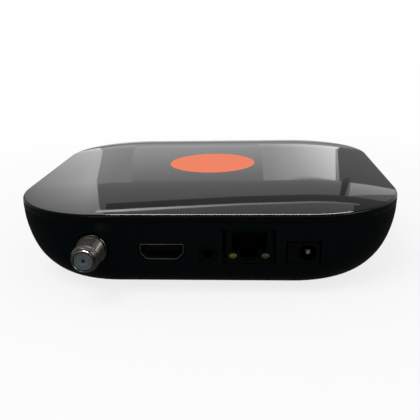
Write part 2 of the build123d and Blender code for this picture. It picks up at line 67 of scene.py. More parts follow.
def addCamera():
    rise = math.radians(camera["elevation"])
    reach = camera["distance"]
    stand = fromStudio(0, -reach * math.cos(rise), reach * math.sin(rise))
    looking = (fromStudio(0, 0, 0) - stand).to_track_quat("-Z", "Y").to_matrix().to_4x4()
    roll = Matrix.Rotation(math.radians(camera["roll"]), 4, "Z")
    data = bpy.data.cameras.new("productCamera")
    data.sensor_width = camera["sensor"]
    data.lens = camera["sensor"] * camera["focalPixels"] / camera["pictureWidth"]
    data.clip_start = camera["clipStart"]
    holder = bpy.data.objects.new("productCamera", data)
    scene.collection.objects.link(holder)
    holder.matrix_world = Matrix.Translation(stand) @ looking @ roll
    scene.camera = holder


addCamera()
print("camera placed")


def deselectAll():
    if bpy.context.object and bpy.context.object.mode != "OBJECT":
        bpy.ops.object.mode_set(mode="OBJECT")
    bpy.ops.object.select_all(action="DESELECT")


def named(name):  # the primitive just added becomes a piece with that name
    piece = bpy.context.object
    piece.name = piece.data.name = name
    bpy.ops.object.transform_apply(location=True, rotation=True, scale=True)
    return piece


def edit(piece):
    if piece.mode != "EDIT":
        bpy.ops.object.mode_set(mode="EDIT")


def leave():
    bpy.ops.object.mode_set(mode="OBJECT")


def pick(piece, kind, test):  # selects by place or normal
    edit(piece)
    bpy.ops.mesh.select_mode(type=kind)
    bpy.ops.mesh.select_all(action="DESELECT")
    mesh = bmesh.from_edit_mesh(piece.data)
    for item in {"VERT": mesh.verts, "EDGE": mesh.edges, "FACE": mesh.faces}[kind]:
        if test(item):
            item.select_set(True)
    mesh.select_flush_mode()
    bmesh.update_edit_mesh(piece.data)


def push(y=0.0, z=0.0):  # extrudes what is selected
    bpy.ops.mesh.extrude_region_move(TRANSFORM_OT_translate={"value": (0, y * mm, z * mm)})


def edgeHeight(height, slack=0.02):  # a test for edges that lie level at that height
    return lambda edge: all(abs(v.co.z - height * mm) < slack * mm for v in edge.verts)


def closeUp(piece, gap=0.0005):  # doubles merged and the skin turned outwards
    edit(piece)
    bpy.ops.mesh.select_all(action="SELECT")
    bpy.ops.mesh.remove_doubles(threshold=gap * mm)
    bpy.ops.mesh.normals_make_consistent(inside=False)
    leave()


def applyAll(piece):
    bpy.context.view_layer.objects.active = piece
    for modifier in list(piece.modifiers):
        bpy.ops.object.modifier_apply(modifier=modifier.name)


def smooth(piece, angle=35, weighted=True):
    deselectAll()
    piece.select_set(True)
    bpy.context.view_layer.objects.active = piece
    bpy.ops.object.shade_smooth_by_angle(angle=math.radians(angle))
    if weighted:
        modifier = piece.modifiers.new("evenNormals", "WEIGHTED_NORMAL")
        modifier.keep_sharp = True
    applyAll(piece)


def rounded(piece, width, segments=2, angle=40):
    modifier = piece.modifiers.new("softEdges", "BEVEL")
    modifier.width = width * mm
    modifier.segments = segments
    modifier.limit_method = "ANGLE"
    modifier.angle_limit = math.radians(angle)
    applyAll(piece)


def copied(piece, name, x=0.0, y=0.0):  # a twin with its own mesh, moved aside
    twin = piece.copy()
    twin.data = piece.data.copy()
    twin.name = twin.data.name = name
    scene.collection.objects.link(twin)
    twin.data.transform(Matrix.Translation((x * mm, y * mm, 0)))
    return twin


def place(piece, body, slot, material, *nodes):  # on its body, in place of those CAD nodes
    piece.data.materials.clear()
    piece.data.materials.append(material)
    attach(piece, body)
    if nodes:
        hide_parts(*nodes)


# A round piece along +Y: a disc drawn out and resized at each step of (distance, radius)
def turned(name, x, z, start, steps, facets=64):
    deselectAll()
    bpy.ops.mesh.primitive_circle_add(vertices=facets, radius=steps[0][1] * mm, fill_type="NGON",
                                      location=(x * mm, (start + steps[0][0]) * mm, z * mm),
                                      rotation=(math.radians(-90), 0, 0))
    piece = named(name)
    edit(piece)
    bpy.ops.mesh.select_all(action="SELECT")
    for (before, wide), (after, narrow) in zip(steps, steps[1:]):
        push(y=after - before)
        if narrow != wide:
            bpy.ops.transform.resize(value=(narrow / wide, 1, narrow / wide),
                                     center_override=(x * mm, (start + after) * mm, z * mm))
    closeUp(piece)
    return piece


def linear(code):  # an sRGB hex value as linear colour
    parts = [int(code[i:i + 2], 16) / 255 for i in (1, 3, 5)]
    return [*(p / 12.92 if p <= 0.04045 else ((p + 0.055) / 1.055) ** 2.4 for p in parts), 1.0]


# One node with its settings and links. A colour Mix takes its share at 0 and its colours at 6 and
# 7, and gives the result at 2
def addNode(tree, kind, settings=None, links=None):
    node = tree.nodes.new("ShaderNode" + kind)
    for name, value in (settings or {}).items():
        if isinstance(name, int) or name in node.inputs:
            node.inputs[name].default_value = value
        else:
            setattr(node, name, value)
    for name, (source, output) in (links or {}).items():
        tree.links.new(source.outputs[output], node.inputs[name])
    return node


def newFinish(name):  # an empty material with its tree and its place coordinates
    material = bpy.data.materials.new(name)
    material.use_nodes = True
    material.node_tree.nodes.clear()
    return material, material.node_tree, addNode(material.node_tree, "TexCoord")


def finishWith(tree, settings, links):
    shader = addNode(tree, "BsdfPrincipled", settings, links)
    addNode(tree, "OutputMaterial", links={"Surface": (shader, "BSDF")})


noiseSpan = {"From Min": 0.3, "From Max": 0.7}  # nearly all of a noise texture lies between these


# A moulded or plated finish: a fine grain of its own size in the surface, and patches nine times
# as wide that are a little duller or shinier. Size and depth are in mm, and coarser than the
# marks of a real tool, which wouldn't show
def grainy(name, colour, roughness, size, depth, spread=0.06, softEdge=0.0, **sockets):
    material, tree, coords = newFinish(name)
    grain = addNode(tree, "TexNoise", {"Scale": 1 / (size * mm)}, {"Vector": (coords, "Object")})
    patches = addNode(tree, "TexNoise", {"Scale": 1 / (9 * size * mm)},
                      {"Vector": (coords, "Object")})
    shine = addNode(tree, "MapRange", {**noiseSpan, "To Min": roughness - spread,
                                       "To Max": roughness + spread},
                    {"Value": (patches, "Fac")})
    below = {"Height": (grain, "Fac")}
    if softEdge:  # the small radius that every moulded edge has
        edge = addNode(tree, "Bevel", {"Radius": softEdge * mm, "samples": 6})
        below["Normal"] = (edge, "Normal")
    bump = addNode(tree, "Bump", {"Distance": depth * mm}, below)
    settings = {"Base Color": linear(colour)}
    settings.update({key.replace("_", " "): value for key, value in sockets.items()})
    finishWith(tree, settings, {"Normal": (bump, "Normal"), "Roughness": (shine, "Result")})
    return material


finishes = {}


lid = {
    "width": 141.7, "depth": 131.5, "middleY": caseMiddleY,
    "corner": 35.3, "cornerSteps": 24,
    "seam": 26.7, "brow": 29.6, "crown": 220.0, "rings": 12,
    "browBevel": 0.75, "seamBevel": 0.25, "wall": 2.4, "hollow": 2.2,
    "black": "#030404", "dust": "#6A6A66", "dustSpacing": 4.0,
    "haze": (0.015, 0.05),  # roughness where it is clean, and where it was wiped
    "wipeWidth": 11.0, "waveWidth": 14.0, "waveDepth": 0.004, "sheen": 0.5,
    "mark": "#E86A2C", "markDeep": "#DC5C22", "markRadius": 18.0, "markEdge": 0.12,
    "markAbove": 31.0, "markMottle": 2.5, "markDull": 0.3, "markSheen": 0.16,
}


def crownHeight(reach):
    radius = lid["crown"]
    return lid["brow"] + math.sqrt(radius**2 - reach**2) - math.sqrt(radius**2 - lid["corner"]**2)


def buildLid():
    deselectAll()
    bpy.ops.mesh.primitive_plane_add(size=1, location=(0, lid["middleY"] * mm, lid["seam"] * mm))
    piece = bpy.context.object
    piece.scale = (lid["width"] * mm, lid["depth"] * mm, 1)
    piece = named("glossLid")
    edit(piece)
    bpy.ops.mesh.select_all(action="SELECT")
    bpy.ops.mesh.bevel(offset=lid["corner"] * mm, segments=lid["cornerSteps"], affect="VERTICES",
                       clamp_overlap=False)
    bpy.ops.mesh.select_all(action="SELECT")
    push(z=lid["brow"] - lid["seam"])
    left = lid["corner"]
    for ring in range(1, lid["rings"] + 1):  # rings of the crown, each a little higher
        reach = max(lid["corner"] * (1 - ring / lid["rings"]), 0.04)
        bpy.ops.mesh.inset(thickness=(left - reach) * mm, use_even_offset=True,
                           depth=(crownHeight(reach) - crownHeight(left)) * mm)
        left = reach
    closeUp(piece, 0.06)
    pick(piece, "EDGE", edgeHeight(lid["brow"]))
    bpy.ops.mesh.bevel(offset=lid["browBevel"] * mm, segments=6, affect="EDGES")
    pick(piece, "FACE", lambda face: face.normal.z < -0.9)
    bpy.ops.mesh.inset(thickness=lid["wall"] * mm)
    push(z=lid["hollow"])
    pick(piece, "EDGE", lambda edge: edgeHeight(lid["seam"])(edge)
         and any(abs(face.normal.z) < 0.5 and face.normal.dot(
             face.calc_center_median() - Vector((0, lid["middleY"] * mm, 0))) > 0
             for face in edge.link_faces))
    bpy.ops.mesh.bevel(offset=lid["seamBevel"] * mm, segments=3, affect="EDGES")
    closeUp(piece)
    smooth(piece)
    return piece


# Acrylic-capped ABS, moulded against a polished tool: deep black under a mirror surface, with the
# slight waviness of a moulding, a haze of wiping marks that only shows in reflections, and a few
# specks of dust. The mark is a plain disc printed on it, so it is less shiny than the rest
def glossFinish():
    clean, wiped = lid["haze"]
    material, tree, coords = newFinish("glossMouldedAcrylic")
    centred = addNode(tree, "VectorMath", {"operation": "MULTIPLY_ADD", 1: (1, 1, 0),
                                           2: (0, -lid["middleY"] * mm, 0)},
                      {0: (coords, "Object")})
    away = addNode(tree, "VectorMath", {"operation": "LENGTH"}, {0: (centred, "Vector")})
    inMark = addNode(tree, "MapRange", {"From Min": lid["markRadius"] * mm,
                                        "From Max": (lid["markRadius"] + lid["markEdge"]) * mm,
                                        "To Min": 1.0, "To Max": 0.0}, {"Value": (away, "Value")})
    height = addNode(tree, "SeparateXYZ", links={0: (coords, "Object")})
    onTop = addNode(tree, "Math", {"operation": "GREATER_THAN", 1: lid["markAbove"] * mm},
                    {0: (height, "Z")})
    mask = addNode(tree, "Math", {"operation": "MULTIPLY"}, {0: (inMark, "Result"), 1: (onTop, 0)})
    cloud = addNode(tree, "TexNoise", {"Scale": 1 / (lid["markMottle"] * mm), "Detail": 3.0},
                    {"Vector": (coords, "Object")})
    ink = addNode(tree, "Mix", {"data_type": "RGBA", 6: linear(lid["markDeep"]),
                                7: linear(lid["mark"])}, {0: (cloud, "Fac")})
    cells = addNode(tree, "TexVoronoi", {"Scale": 1 / (lid["dustSpacing"] * mm)},
                    {"Vector": (coords, "Object")})
    dust = addNode(tree, "MapRange", {"From Min": 0.025, "From Max": 0.04,  # specks of 0.2 mm
                                      "To Min": 0.5, "To Max": 0.0},
                   {"Value": (cells, "Distance")})
    dusty = addNode(tree, "Mix", {"data_type": "RGBA", 6: linear(lid["black"]),
                                  7: linear(lid["dust"])}, {0: (dust, "Result")})
    colour = addNode(tree, "Mix", {"data_type": "RGBA"}, {0: (mask, 0), 6: (dusty, 2), 7: (ink, 2)})
    wipes = addNode(tree, "TexNoise", {"Scale": 1 / (lid["wipeWidth"] * mm), "Detail": 6.0,
                                       "Distortion": 0.6}, {"Vector": (coords, "Object")})
    haze = addNode(tree, "MapRange", {**noiseSpan, "To Min": clean, "To Max": wiped},
                   {"Value": (wipes, "Fac")})
    dull = addNode(tree, "MapRange", {"To Min": 0.0, "To Max": lid["markDull"]},
                   {"Value": (mask, 0)})
    rough = addNode(tree, "Math", {"operation": "ADD"}, {0: (haze, "Result"), 1: (dull, "Result")})
    sheen = addNode(tree, "MapRange", {"To Min": lid["sheen"], "To Max": lid["markSheen"]},
                    {"Value": (mask, 0)})
    waves = addNode(tree, "TexNoise", {"Scale": 1 / (lid["waveWidth"] * mm), "Detail": 1.0},
                    {"Vector": (coords, "Object")})
    bump = addNode(tree, "Bump", {"Distance": lid["waveDepth"] * mm}, {"Height": (waves, "Fac")})
    finishWith(tree, {"IOR": 1.28}, {"Base Color": (colour, 2), "Roughness": (rough, 0),
                                     "Specular IOR Level": (sheen, "Result"),
                                     "Normal": (bump, "Normal")})
    return material


finishes["glossLid"] = glossFinish()
glossLid = buildLid()
place(glossLid, "receiver", "cover_gloss_black", finishes["glossLid"], "top_cover")
print("cover:", len(glossLid.data.polygons), "faces")


antenna = {
    "x": 37.7, "z": 17.6, "panel": 59.08, "end": 71.58,
    "rootRadius": 4.28, "threadRadius": 4.76, "shoulder": 5.25,
    "pitch": 1.25,  # the real one is 0.8, and wouldn't show
    "crest": 0.3,  # the flat of a tooth, as a share of the pitch
    "bite": 0.05,  # how deep a tooth stands in the barrel
    "facets": 36, "runOut": 0.8, "runOutStep": 0.15, "runOutSteps": 6, "runOutShrink": 0.985,
    "shoulderReach": 1.5, "leadStart": 10.8, "leadRadius": 3.85, "bore": 3.22, "boreDepth": 11.0,
    "edgeBreak": 0.06, "insulator": 3.08,
    # The insulator's face from its rim to the wire's hole: depth under the end, and radius
    "face": [(0.3, 2.55), (0.42, 2.45), (0.42, 2.25), (0.3, 2.15), (0.3, 1.45), (0.38, 1.35),
             (0.48, 0.9), (0.62, 0.5), (0.66, 0.44), (0.8, 0.44), (0.8, 0.82)],
    "flange": 6.8, "flangeStart": -9.0, "flangeEnd": -7.8, "tail": 4.0, "tailStart": -12.0,
    "dull": "#7E7A73", "bright": "#A8A49C", "shine": (0.09, 0.2), "tarnish": 2.5,
    "lathePitch": 0.25,  # the real rings are about 0.1 mm apart, and wouldn't show
    # the insulator's colour is darkened below its real grey-blue as painted shade
    "insulatorShadedTone": "#3D484B",
}


def buildThread():  # one tooth of the thread, wound along the barrel and cut square at both ends
    pitch, root = antenna["pitch"], antenna["rootRadius"] - antenna["bite"]
    near = antenna["shoulderReach"] - 0.1  # it starts inside the shoulder
    far = antenna["leadStart"] - 0.04  # and stops just short of the lead
    flat = antenna["crest"] * pitch
    deselectAll()
    bpy.ops.mesh.primitive_plane_add(size=1, location=(0, 0, 0))
    piece = named("antennaThread")
    edit(piece)
    bpy.ops.mesh.delete(type="ONLY_FACE")
    mesh = bmesh.from_edit_mesh(piece.data)
    profile = [(root, 0.0), (antenna["threadRadius"], (pitch - flat) / 2),
               (antenna["threadRadius"], (pitch + flat) / 2), (root, pitch)]
    for vertex, (radius, along) in zip(mesh.verts, profile):
        vertex.co = Vector((radius, antenna["panel"] + near - 1.3 * pitch + along, 0)) * mm
    for edge in list(mesh.edges):
        mesh.edges.remove(edge)
    corners = list(mesh.verts)
    for a, b in zip(corners, corners[1:]):
        mesh.edges.new((a, b))
    bmesh.update_edit_mesh(piece.data)
    leave()
    screw = piece.modifiers.new("winding", "SCREW")
    screw.axis = "Y"
    screw.angle = 2 * math.pi
    screw.screw_offset = pitch * mm
    screw.iterations = math.ceil((far - near) / pitch) + 2
    screw.steps = screw.render_steps = antenna["facets"]
    screw.use_merge_vertices = False
    applyAll(piece)
    closeUp(piece, 0.01)
    edit(piece)
    for along, side in ((near, {"clear_inner": True}), (far, {"clear_outer": True})):
        bpy.ops.mesh.select_all(action="SELECT")
        bpy.ops.mesh.bisect(plane_co=(0, (antenna["panel"] + along) * mm, 0), plane_no=(0, 1, 0),
                            use_fill=True, **side)
    shrink = antenna["runOutShrink"]
    for step in range(antenna["runOutSteps"]):  # the thread runs out into the lead
        after = antenna["panel"] + far - antenna["runOut"] + step * antenna["runOutStep"]
        pick(piece, "VERT", lambda v: v.co.y > after * mm)
        bpy.ops.transform.resize(value=(shrink, 1, shrink), center_override=(0, 0, 0))
    leave()
    piece.data.transform(Matrix.Translation((antenna["x"] * mm, 0, antenna["z"] * mm)))
    closeUp(piece)
    return piece


def buildBarrel():
    shoulder, root, lead = antenna["shoulder"], antenna["rootRadius"], antenna["leadRadius"]
    reach, end = antenna["shoulderReach"], antenna["end"] - antenna["panel"]
    edge = antenna["edgeBreak"]
    steps = [(antenna["tailStart"], antenna["tail"]), (antenna["flangeStart"], antenna["tail"]),
             (antenna["flangeStart"], antenna["flange"]), (antenna["flangeEnd"], antenna["flange"]),
             (antenna["flangeEnd"], shoulder), (reach - edge, shoulder), (reach, shoulder - edge),
             (reach, root), (antenna["leadStart"] - 0.1, root), (antenna["leadStart"] + 0.1, lead),
             (end - 0.3, lead), (end - 0.08, lead - 0.12), (end, lead - 0.32),  # rounded nose
             (end, antenna["bore"] + 0.14), (end - 0.12, antenna["bore"] + 0.02),
             (end - antenna["boreDepth"], antenna["bore"] + 0.02)]
    piece = turned("antennaBarrel", antenna["x"], antenna["z"], antenna["panel"], steps, 72)
    smooth(piece, 30)
    return piece


def buildInsulator():  # its face is ribbed round a funnel that guides the centre wire
    end, wide = antenna["end"] - antenna["panel"], antenna["insulator"]
    steps = [(end - antenna["boreDepth"], wide), (end - 0.4, wide), (end - 0.3, wide - 0.1)]
    steps += [(end - depth, radius) for depth, radius in antenna["face"]]
    steps.append((end - antenna["boreDepth"] + 0.5, steps[-1][1]))
    piece = turned("antennaInsulator", antenna["x"], antenna["z"], antenna["panel"], steps, 64)
    smooth(piece, 30)
    return piece


# Nickel over turned brass: grey, softly mirror-like, with fine rings left by the lathe and a
# slightly uneven tone where fingers and plugs have been. The tone changes every few millimetres
def nickelFinish():
    polished, handled = antenna["shine"]
    material, tree, coords = newFinish("turnedNickelPlate")
    rings = addNode(tree, "TexWave", {"bands_direction": "Y",
                                      "Scale": 1 / (antenna["lathePitch"] * mm) / 3.14,
                                      "Distortion": 0.4, "Detail": 1.0},
                    {"Vector": (coords, "Object")})
    bump = addNode(tree, "Bump", {"Distance": 0.002 * mm, "Strength": 0.5},
                   {"Height": (rings, "Fac")})
    tarnish = addNode(tree, "TexNoise", {"Scale": 1 / (antenna["tarnish"] * mm), "Detail": 4.0},
                      {"Vector": (coords, "Object")})
    shine = addNode(tree, "MapRange", {**noiseSpan, "To Min": polished, "To Max": handled},
                    {"Value": (tarnish, "Fac")})
    tone = addNode(tree, "Mix", {"data_type": "RGBA", 6: linear(antenna["dull"]),
                                 7: linear(antenna["bright"])}, {0: (tarnish, "Fac")})
    finishWith(tree, {"Metallic": 1.0}, {"Base Color": (tone, 2), "Roughness": (shine, "Result"),
                                         "Normal": (bump, "Normal")})
    return material


finishes["nickel"] = nickelFinish()
antennaBarrel = buildBarrel()
place(antennaBarrel, "receiver", "nickel_plate", finishes["nickel"], "antenna_barrel")
antennaThread = buildThread()
smooth(antennaThread, 20, False)
place(antennaThread, "receiver", "nickel_plate", finishes["nickel"])
# Grey-blue polyolefin: waxy and matt, its colour darkened as painted shade of the socket row
finishes["insulator"] = grainy("waxyPolyolefin", antenna["insulatorShadedTone"], 0.45, 0.5, 0.004)
antennaInsulator = buildInsulator()
place(antennaInsulator, "receiver", "insulator_pale", finishes["insulator"], "antenna_insulator")
print("antenna connector:", len(antennaThread.data.polygons), "thread faces")


videoSocket = {
    "x": 14.0, "z": 16.1, "face": 58.384, "width": 15.1, "height": 5.6, "chamfer": 2.2,
    "depth": 11.0, "sheet": 0.3, "softCorner": 0.55, "lip": 0.1,
    "dull": "#85827C", "bright": "#A19D96", "shine": (0.26, 0.42), "spangle": 3.0,
    "grain": 0.5, "grainDepth": 0.004,
}


def buildVideoShell():
    deselectAll()
    back = videoSocket["face"] - videoSocket["depth"]
    bpy.ops.mesh.primitive_plane_add(size=1, rotation=(math.radians(-90), 0, 0), location=(
        videoSocket["x"] * mm, back * mm, videoSocket["z"] * mm))
    piece = bpy.context.object
    piece.scale = (videoSocket["width"] * mm, videoSocket["height"] * mm, 1)
    piece = named("videoShell")
    pick(piece, "VERT", lambda v: v.co.z < videoSocket["z"] * mm)
    bpy.ops.mesh.bevel(offset=videoSocket["chamfer"] * mm, segments=1, affect="VERTICES")
    bpy.ops.mesh.select_all(action="SELECT")
    bpy.ops.mesh.bevel(offset=videoSocket["softCorner"] * mm, segments=5, affect="VERTICES")
    bpy.ops.mesh.select_all(action="SELECT")
    push(y=videoSocket["depth"])
    bpy.ops.mesh.inset(thickness=videoSocket["sheet"] * mm, use_even_offset=True)
    push(y=-(videoSocket["depth"] - videoSocket["sheet"]))
    closeUp(piece)
    rounded(piece, videoSocket["lip"], 2, 60)
    smooth(piece, 30)
    return piece


# Tin over pressed steel sheet: dull silver with a faint cloudy spangle and soft reflections
def tinFinish():
    bright, dull = videoSocket["shine"]
    material, tree, coords = newFinish("tinPlatedSheet")
    cloud = addNode(tree, "TexNoise", {"Scale": 1 / (videoSocket["spangle"] * mm), "Detail": 4.0},
                    {"Vector": (coords, "Object")})
    shine = addNode(tree, "MapRange", {**noiseSpan, "To Min": bright, "To Max": dull},
                    {"Value": (cloud, "Fac")})
    tone = addNode(tree, "Mix", {"data_type": "RGBA", 6: linear(videoSocket["dull"]),
                                 7: linear(videoSocket["bright"])}, {0: (cloud, "Fac")})
    grain = addNode(tree, "TexNoise", {"Scale": 1 / (videoSocket["grain"] * mm)},
                    {"Vector": (coords, "Object")})
    bump = addNode(tree, "Bump", {"Distance": videoSocket["grainDepth"] * mm},
                   {"Height": (grain, "Fac")})
    finishWith(tree, {"Metallic": 1.0}, {"Base Color": (tone, 2), "Roughness": (shine, "Result"),
                                         "Normal": (bump, "Normal")})
    return material


finishes["tin"] = tinFinish()
videoShell = buildVideoShell()
place(videoShell, "receiver", "tinned_sheet", finishes["tin"], "hdmi_shell")
print("video socket shell:", len(videoShell.data.polygons), "faces")


lamps = {
    "middle": -15.8, "spacing": 11.0, "z": 14.5, "face": 58.384, "depth": 8.0, "width": 3.1,
    "height": 2.0, "dome": 0.5, "yellow": "#454009", "green": "#20361A",
}


def buildLamp():  # an oval rod with a shallow dome
    x, tall, dome = lamps["middle"] - lamps["spacing"] / 2, lamps["height"] / 2, lamps["dome"]
    steps = [(0, tall), (lamps["depth"] - dome, tall), (lamps["depth"] - dome * 0.55, tall * 0.88),
             (lamps["depth"] - dome * 0.2, tall * 0.62), (lamps["depth"], tall * 0.2)]
    piece = turned("networkLampGreen", x, lamps["z"], lamps["face"] - lamps["depth"], steps, 40)
    edit(piece)
    bpy.ops.mesh.select_all(action="SELECT")
    bpy.ops.transform.resize(value=(lamps["width"] / lamps["height"], 1, 1),
                             center_override=(x * mm, 0, 0))
    leave()
    smooth(piece, 60)
    return piece


# Epoxy lamp cast in tinted resin: a dull, milky glow of its own colour when unlit
def lampFinish(name, colour):
    return grainy(name, colour, 0.3, 0.6, 0.01, IOR=1.52, Subsurface_Weight=0.3,
                  Subsurface_Radius=(0.001, 0.0008, 0.0004), Coat_Weight=0.3)


finishes["lampYellow"] = lampFinish("castYellowEpoxy", lamps["yellow"])
finishes["lampGreen"] = lampFinish("castGreenEpoxy", lamps["green"])
lampGreen = buildLamp()
lampYellow = copied(lampGreen, "networkLampYellow", x=lamps["spacing"])
place(lampGreen, "receiver", "lamp_green", finishes["lampGreen"], "rj45_lamp_green")
place(lampYellow, "receiver", "lamp_yellow", finishes["lampYellow"], "rj45_lamp_yellow")
print("network lamps placed")


feet = {
    "spacingX": 86.0, "spacingY": 76.0, "middleY": caseMiddleY, "radius": 6.5, "height": 1.8,
    "edge": 0.5, "rim": 1.6, "slope": 0.4, "dish": 0.25,
}


def buildFoot():
    deselectAll()
    bpy.ops.mesh.primitive_circle_add(vertices=64, radius=feet["radius"] * mm, fill_type="NGON",
                                      location=(feet["spacingX"] / 2 * mm,
                                                (feet["middleY"] - feet["spacingY"] / 2) * mm, 0))
    piece = named("footPad1")
    edit(piece)
    bpy.ops.mesh.select_all(action="SELECT")
    push(z=feet["height"])
    closeUp(piece)
    pick(piece, "EDGE", edgeHeight(0.0))
    bpy.ops.mesh.bevel(offset=feet["edge"] * mm, segments=4, affect="EDGES")
    pick(piece, "FACE", lambda face: face.normal.z < -0.999)
    bpy.ops.mesh.inset(thickness=feet["rim"] * mm)  # the tread is dished inside a flat rim
    bpy.ops.mesh.inset(thickness=feet["slope"] * mm, depth=-feet["dish"] * mm)
    closeUp(piece)
    smooth(piece, 40)
    return piece


# Silicone rubber, pressed: dull charcoal with a fine tooth that softens its highlights
finishes["rubber"] = grainy("pressedSiliconeRubber", "#1B1B1C", 0.75, 0.35, 0.03)
footPads = [buildFoot()]
for number, (dx, dy) in enumerate(((-1, 0), (0, 1), (-1, 1)), 2):
    footPads.append(copied(footPads[0], f"footPad{number}", x=dx * feet["spacingX"],
                           y=dy * feet["spacingY"]))
for pad in footPads:
    place(pad, "receiver", "foot_rubber", finishes["rubber"], "rubber_feet")
print("feet:", len(footPads))


# ABS moulded in a spark-eroded tool: near black, low sheen, its grain only seen where light grazes
finishes["case"] = grainy("sparkTexturedAbs", "#030809", 0.4, 0.22, 0.006, 0.05, 0.3,
                          Specular_IOR_Level=0.06)
# Polycarbonate tinted to pass infrared: looks black and wet, faintly wine-coloured in depth
finishes["smoked"] = grainy("smokedPolycarbonate", "#0A0507", 0.06, 6.0, 0.002, 0.02, IOR=1.58)
# Clear acrylic light pipe: glassy, with a slight internal haze
finishes["clear"] = grainy("mouldedClearAcrylic", "#F2F5F6", 0.08, 3.0, 0.003, 0.03, IOR=1.49,
                           Transmission_Weight=1.0)
# Zinc plate, clear passivated: pale bluish metal with cloudy patches
finishes["zinc"] = grainy("passivatedZincSteel", "#A9ABAD", 0.36, 0.8, 0.006, 0.08, Metallic=1.0)
# Flash gold over nickel on stamped bronze: thin, pale, softly bright
finishes["gold"] = grainy("flashGoldPlate", "#D8A94A", 0.24, 0.5, 0.003, Metallic=1.0)
# Spring bronze, coloured almost black as painted shade of the deep antenna socket it sits in
finishes["bronze"] = grainy("springBronzePaintedShade", "#2A211A", 0.4, 0.5, 0.003, Metallic=1.0)
# Barrel-polished nickel on the power pin: the brightest metal of the row, at the back of its hole
finishes["pin"] = grainy("polishedNickelPin", "#F1EFEA", 0.3, 0.5, 0.002, Metallic=1.0)
# Glass-filled nylon: matt black with specks of fibre at the surface
finishes["nylon"] = grainy("glassFilledNylon", "#040606", 0.45, 0.4, 0.012, 0.1,
                           Specular_IOR_Level=0.06)
# Transfer-moulded epoxy: charcoal, finely matt
finishes["chip"] = grainy("mouldedChipEpoxy", "#1D1D1F", 0.6, 0.25, 0.012, 0.08)
# Filled silicone gap pad: putty grey and dull
finishes["pad"] = grainy("siliconeGapPad", "#8A8F96", 0.8, 0.6, 0.03, 0.05)
# Extruded and anodised aluminium: satin grey with draw lines
finishes["sink"] = grainy("anodisedAluminium", "#8E9196", 0.42, 0.4, 0.01, Metallic=1.0)
# Sintered ferrite with a lacquer: dark grey, slightly pitted
finishes["ferrite"] = grainy("sinteredFerrite", "#3A3B3E", 0.62, 0.35, 0.03, 0.08)
# Drawn aluminium can: bright, with cloudy handling marks
finishes["can"] = grainy("drawnAluminium", "#B4B6B9", 0.28, 0.7, 0.006, 0.08, Metallic=1.0)
# Clear lens over a pale phosphor
finishes["lampWhite"] = lampFinish("castWhiteEpoxy", "#D9D6B8")


board = {"copper": "#1F5C38", "copperPale": "#2A6B43", "between": "#0F3A21", "runs": 8.0,
         "copperHeight": 0.03}


# Solder mask over fibreglass laminate: glossy green, darker between the copper runs
def boardFinish():
    material, tree, coords = newFinish("solderMaskLaminate")
    runs = addNode(tree, "TexBrick", {"Scale": 1 / (board["runs"] * mm),
                                      "Color1": linear(board["copper"]),
                                      "Color2": linear(board["copperPale"]),
                                      "Mortar": linear(board["between"]),
                                      "Mortar Size": 0.06, "Brick Width": 0.9, "Row Height": 0.16,
                                      "offset": 0.37}, {"Vector": (coords, "Object")})
    bump = addNode(tree, "Bump", {"Distance": board["copperHeight"] * mm, "Strength": 0.5},
                   {"Height": (runs, "Fac")})
    finishWith(tree, {"IOR": 1.5, "Roughness": 0.3}, {"Base Color": (runs, "Color"),
                                                      "Normal": (bump, "Normal")})
    return material


finishes["board"] = boardFinish()

slotFinish = {
    "cover_gloss_black": "glossLid", "case_satin_black": "case", "window_smoked": "smoked",
    "clear_acrylic": "clear", "foot_rubber": "rubber", "zinc_steel": "zinc",
    "board_green": "board", "nickel_plate": "nickel", "insulator_pale": "insulator",
    "tinned_sheet": "tin", "contact_gold": "gold", "socket_black": "nylon",
    "lamp_yellow": "lampYellow", "lamp_green": "lampGreen", "chip_black": "chip",
    "pad_grey": "pad", "sink_aluminium": "sink", "ferrite_grey": "ferrite",
    "can_aluminium": "can", "lamp_white": "lampWhite",
}
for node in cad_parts.values():
    for holder in node.material_slots:
        base = holder.material.name.split(".")[0]
        holder.material = finishes[slotFinish[base]]
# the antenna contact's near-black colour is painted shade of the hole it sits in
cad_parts["antenna_contact"].material_slots[0].material = finishes["bronze"]
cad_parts["dc_jack_pin"].material_slots[0].material = finishes["pin"]
print("finishes given to", len(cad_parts), "nodes")


stage = {
    "floorSize": 3.0, "floor": "#E0E0E0", "floorDrop": 0.05,
    "fadeFrom": 0.11, "fadeTo": 0.32, "camLift": 0.8,
    "worldLevel": 0.8, "tentRadius": 1.4, "tentLevel": 2.0, "tentFoot": -0.1,
    # The tent gets dimmer between two shares of its radius, down to the third number
    "nearSide": (-0.5, 0.05, 0.5), "leftSide": (0.45, 0.65, 0.4),
    # Cards hang at this share of its radius, each one this much nearer than the last
    "cardShare": 0.97, "cardGap": 0.004, "cardSpan": 0.65, "cardLow": 0.18, "cardHigh": 0.4,
}
softbox = {"size": 0.5, "power": 3.0, "spot": (0.25, 0.35, 0.75), "target": (0, 0, 0.02)}


def buildFloor():
    deselectAll()
    bpy.ops.mesh.primitive_plane_add(size=stage["floorSize"],
                                     location=(0, 0, -stage["floorDrop"] * mm))
    floor = named("paleFloor")
    floor.data.materials.append(floorFinish())


